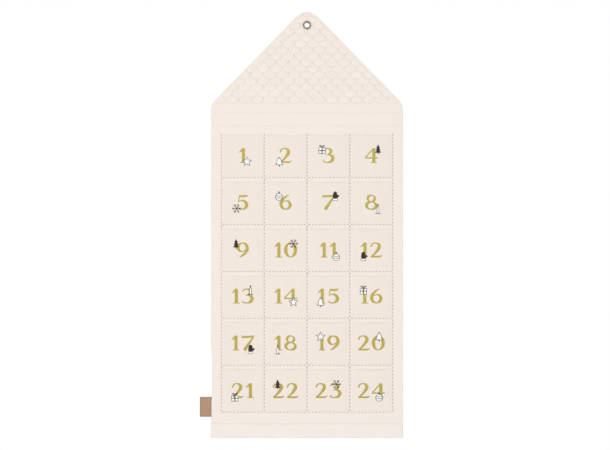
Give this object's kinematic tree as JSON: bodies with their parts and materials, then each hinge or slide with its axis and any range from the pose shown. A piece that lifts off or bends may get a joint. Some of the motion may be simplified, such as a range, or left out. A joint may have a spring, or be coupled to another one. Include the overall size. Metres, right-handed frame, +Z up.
{
  "type": "advent calendar",
  "caption": "House-shaped hanging cloth calendar with a grid of numbered gift pockets, a quilted roof, stiffening battens, an eyelet at the apex and a leather tab in the side seam.",
  "frame": {"origin": "centre of the eyelet's hole, at mid-depth of the cloth", "axes": "+Z up, front faces -Y, +X to the right as seen from the front"},
  "size_m": [0.4786, 0.0167, 1.0014],
  "materials": {
    "face_cotton": "cream cotton, plain weave",
    "lining_cotton": "cream cotton lining, plain weave",
    "pocket_cotton": "cream cotton, plain weave, slightly darker",
    "padding": "white polyester padding",
    "batten_wood": "raw softwood",
    "eyelet_metal": "antiqued, satin",
    "tab_leather": "brown, matte, no marking"
  },
  "bodies": {
    "calendar": {"front_panel": "face_cotton", "back_panel": "lining_cotton", "roof_padding": "padding", "grid_padding": "padding", "top_batten": "batten_wood", "bottom_batten": "batten_wood", "bottom_binding": "face_cotton", "eyelet": "eyelet_metal", "eyelet_washer": "eyelet_metal", "tab_tail": "tab_leather", "pocket_strip_1": "pocket_cotton", "pocket_strip_2": "pocket_cotton", "pocket_strip_3": "pocket_cotton", "pocket_strip_4": "pocket_cotton", "pocket_strip_5": "pocket_cotton", "pocket_strip_6": "pocket_cotton"},
    "pocket_01": {"pocket_01": "pocket_cotton"},
    "pocket_02": {"pocket_02": "pocket_cotton"},
    "pocket_03": {"pocket_03": "pocket_cotton"},
    "pocket_04": {"pocket_04": "pocket_cotton"},
    "pocket_05": {"pocket_05": "pocket_cotton"},
    "pocket_06": {"pocket_06": "pocket_cotton"},
    "pocket_07": {"pocket_07": "pocket_cotton"},
    "pocket_08": {"pocket_08": "pocket_cotton"},
    "pocket_09": {"pocket_09": "pocket_cotton"},
    "pocket_10": {"pocket_10": "pocket_cotton"},
    "pocket_11": {"pocket_11": "pocket_cotton"},
    "pocket_12": {"pocket_12": "pocket_cotton"},
    "pocket_13": {"pocket_13": "pocket_cotton"},
    "pocket_14": {"pocket_14": "pocket_cotton"},
    "pocket_15": {"pocket_15": "pocket_cotton"},
    "pocket_16": {"pocket_16": "pocket_cotton"},
    "pocket_17": {"pocket_17": "pocket_cotton"},
    "pocket_18": {"pocket_18": "pocket_cotton"},
    "pocket_19": {"pocket_19": "pocket_cotton"},
    "pocket_20": {"pocket_20": "pocket_cotton"},
    "pocket_21": {"pocket_21": "pocket_cotton"},
    "pocket_22": {"pocket_22": "pocket_cotton"},
    "pocket_23": {"pocket_23": "pocket_cotton"},
    "pocket_24": {"pocket_24": "pocket_cotton"},
    "leather_tab": {"leather_tab": "tab_leather"}
  },
  "joints": [
    {"name": "pocket_01_mouth", "type": "hinge", "parent": "calendar", "child": "pocket_01", "pos_m": [-0.15105, -0.0033, -0.3558], "axis": [1, 0, 0], "range_deg": [0, 8], "stiffness_Nm_per_rad": 0.03},
    {"name": "pocket_02_mouth", "type": "hinge", "parent": "calendar", "child": "pocket_02", "pos_m": [-0.05035, -0.0033, -0.3558], "axis": [1, 0, 0], "range_deg": [0, 8], "stiffness_Nm_per_rad": 0.03},
    {"name": "pocket_03_mouth", "type": "hinge", "parent": "calendar", "child": "pocket_03", "pos_m": [0.05035, -0.0033, -0.3558], "axis": [1, 0, 0], "range_deg": [0, 8], "stiffness_Nm_per_rad": 0.03},
    {"name": "pocket_04_mouth", "type": "hinge", "parent": "calendar", "child": "pocket_04", "pos_m": [0.15105, -0.0033, -0.3558], "axis": [1, 0, 0], "range_deg": [0, 8], "stiffness_Nm_per_rad": 0.03},
    {"name": "pocket_05_mouth", "type": "hinge", "parent": "calendar", "child": "pocket_05", "pos_m": [-0.15105, -0.0033, -0.4661], "axis": [1, 0, 0], "range_deg": [0, 8], "stiffness_Nm_per_rad": 0.03},
    {"name": "pocket_06_mouth", "type": "hinge", "parent": "calendar", "child": "pocket_06", "pos_m": [-0.05035, -0.0033, -0.4661], "axis": [1, 0, 0], "range_deg": [0, 8], "stiffness_Nm_per_rad": 0.03},
    {"name": "pocket_07_mouth", "type": "hinge", "parent": "calendar", "child": "pocket_07", "pos_m": [0.05035, -0.0033, -0.4661], "axis": [1, 0, 0], "range_deg": [0, 8], "stiffness_Nm_per_rad": 0.03},
    {"name": "pocket_08_mouth", "type": "hinge", "parent": "calendar", "child": "pocket_08", "pos_m": [0.15105, -0.0033, -0.4661], "axis": [1, 0, 0], "range_deg": [0, 8], "stiffness_Nm_per_rad": 0.03},
    {"name": "pocket_09_mouth", "type": "hinge", "parent": "calendar", "child": "pocket_09", "pos_m": [-0.15105, -0.0033, -0.5764], "axis": [1, 0, 0], "range_deg": [0, 8], "stiffness_Nm_per_rad": 0.03},
    {"name": "pocket_10_mouth", "type": "hinge", "parent": "calendar", "child": "pocket_10", "pos_m": [-0.05035, -0.0033, -0.5764], "axis": [1, 0, 0], "range_deg": [0, 8], "stiffness_Nm_per_rad": 0.03},
    {"name": "pocket_11_mouth", "type": "hinge", "parent": "calendar", "child": "pocket_11", "pos_m": [0.05035, -0.0033, -0.5764], "axis": [1, 0, 0], "range_deg": [0, 8], "stiffness_Nm_per_rad": 0.03},
    {"name": "pocket_12_mouth", "type": "hinge", "parent": "calendar", "child": "pocket_12", "pos_m": [0.15105, -0.0033, -0.5764], "axis": [1, 0, 0], "range_deg": [0, 8], "stiffness_Nm_per_rad": 0.03},
    {"name": "pocket_13_mouth", "type": "hinge", "parent": "calendar", "child": "pocket_13", "pos_m": [-0.15105, -0.0033, -0.6867], "axis": [1, 0, 0], "range_deg": [0, 8], "stiffness_Nm_per_rad": 0.03},
    {"name": "pocket_14_mouth", "type": "hinge", "parent": "calendar", "child": "pocket_14", "pos_m": [-0.05035, -0.0033, -0.6867], "axis": [1, 0, 0], "range_deg": [0, 8], "stiffness_Nm_per_rad": 0.03},
    {"name": "pocket_15_mouth", "type": "hinge", "parent": "calendar", "child": "pocket_15", "pos_m": [0.05035, -0.0033, -0.6867], "axis": [1, 0, 0], "range_deg": [0, 8], "stiffness_Nm_per_rad": 0.03},
    {"name": "pocket_16_mouth", "type": "hinge", "parent": "calendar", "child": "pocket_16", "pos_m": [0.15105, -0.0033, -0.6867], "axis": [1, 0, 0], "range_deg": [0, 8], "stiffness_Nm_per_rad": 0.03},
    {"name": "pocket_17_mouth", "type": "hinge", "parent": "calendar", "child": "pocket_17", "pos_m": [-0.15105, -0.0033, -0.797], "axis": [1, 0, 0], "range_deg": [0, 8], "stiffness_Nm_per_rad": 0.03},
    {"name": "pocket_18_mouth", "type": "hinge", "parent": "calendar", "child": "pocket_18", "pos_m": [-0.05035, -0.0033, -0.797], "axis": [1, 0, 0], "range_deg": [0, 8], "stiffness_Nm_per_rad": 0.03},
    {"name": "pocket_19_mouth", "type": "hinge", "parent": "calendar", "child": "pocket_19", "pos_m": [0.05035, -0.0033, -0.797], "axis": [1, 0, 0], "range_deg": [0, 8], "stiffness_Nm_per_rad": 0.03},
    {"name": "pocket_20_mouth", "type": "hinge", "parent": "calendar", "child": "pocket_20", "pos_m": [0.15105, -0.0033, -0.797], "axis": [1, 0, 0], "range_deg": [0, 8], "stiffness_Nm_per_rad": 0.03},
    {"name": "pocket_21_mouth", "type": "hinge", "parent": "calendar", "child": "pocket_21", "pos_m": [-0.15105, -0.0033, -0.9073], "axis": [1, 0, 0], "range_deg": [0, 8], "stiffness_Nm_per_rad": 0.03},
    {"name": "pocket_22_mouth", "type": "hinge", "parent": "calendar", "child": "pocket_22", "pos_m": [-0.05035, -0.0033, -0.9073], "axis": [1, 0, 0], "range_deg": [0, 8], "stiffness_Nm_per_rad": 0.03},
    {"name": "pocket_23_mouth", "type": "hinge", "parent": "calendar", "child": "pocket_23", "pos_m": [0.05035, -0.0033, -0.9073], "axis": [1, 0, 0], "range_deg": [0, 8], "stiffness_Nm_per_rad": 0.03},
    {"name": "pocket_24_mouth", "type": "hinge", "parent": "calendar", "child": "pocket_24", "pos_m": [0.15105, -0.0033, -0.9073], "axis": [1, 0, 0], "range_deg": [0, 8], "stiffness_Nm_per_rad": 0.03},
    {"name": "leather_tab_bend", "type": "hinge", "parent": "calendar", "child": "leather_tab", "pos_m": [-0.226, 0, -0.921], "axis": [0, 0, 1], "range_deg": [0, 75], "stiffness_Nm_per_rad": 0.01}
  ]
}
